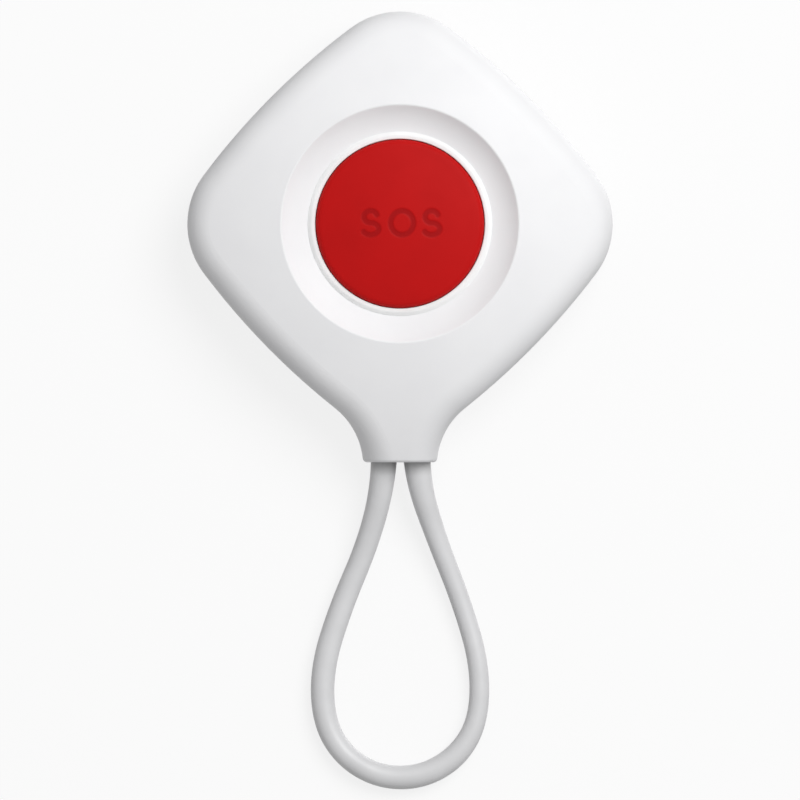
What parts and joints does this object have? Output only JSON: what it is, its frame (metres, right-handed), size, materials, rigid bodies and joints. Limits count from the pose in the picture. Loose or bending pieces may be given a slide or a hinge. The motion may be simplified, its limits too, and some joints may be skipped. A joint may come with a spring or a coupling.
{
  "type": "wireless panic button",
  "caption": "Pendant call button: rounded diamond case with a flared neck, red push cap in a round dish, and a cord loop.",
  "frame": {"origin": "on the button's axis, in the plane of the flat back", "axes": "+Z out of the front face, +Y to the tip opposite the neck, the strap lies towards -Y"},
  "size_m": [0.0568, 0.1039, 0.0147],
  "materials": {
    "case": "semi-gloss white moulded plastic",
    "cap_red": "satin red moulded plastic",
    "light_guide": "milky white collar that spreads light",
    "strap_white": "smooth pale elastomer",
    "seal_rubber": "soft dark seal rubber",
    "black_plastic": "black moulded plastic",
    "stem_plastic": "pale switch stem",
    "board": "green solder mask on glass laminate",
    "cell_steel": "nickel-plated steel can",
    "contact_metal": "plated spring strip",
    "screw_steel": "plated steel",
    "capacitor_body": "tan ceramic body",
    "led_red": "tinted lens",
    "led_green": "tinted lens"
  },
  "bodies": {
    "case": {"front_cover": "case", "rear_cover": "case", "case_seal": "seal_rubber", "light_ring": "light_guide", "coin_cell": "cell_steel", "battery_holder": "black_plastic", "battery_contact_plus": "contact_metal", "battery_contact_minus": "contact_metal", "circuit_board": "board", "switch_body": "black_plastic", "antenna": "contact_metal", "case_screws": "screw_steel", "strap_anchor": "strap_white", "strap_loop": "strap_white", "controller_chip": "black_plastic", "crystal": "screw_steel", "radio_module": "screw_steel", "reservoir_capacitor": "capacitor_body", "status_led_red": "led_red", "status_led_green": "led_green"},
    "button": {"button_cap": "cap_red", "switch_plunger": "stem_plastic"},
    "door": {"battery_door": "case", "door_seal": "seal_rubber"}
  },
  "joints": [
    {"name": "button_press", "type": "slide", "parent": "case", "child": "button", "axis": [0, 0, -1], "range_m": [0, 0.0005], "stiffness_N_per_m": 1200, "springref_m": -0.001},
    {"name": "door_turn", "type": "hinge", "parent": "case", "child": "door", "pos_m": [0, 0, 0], "axis": [0, 0, -1], "range_deg": [0, 45]}
  ]
}
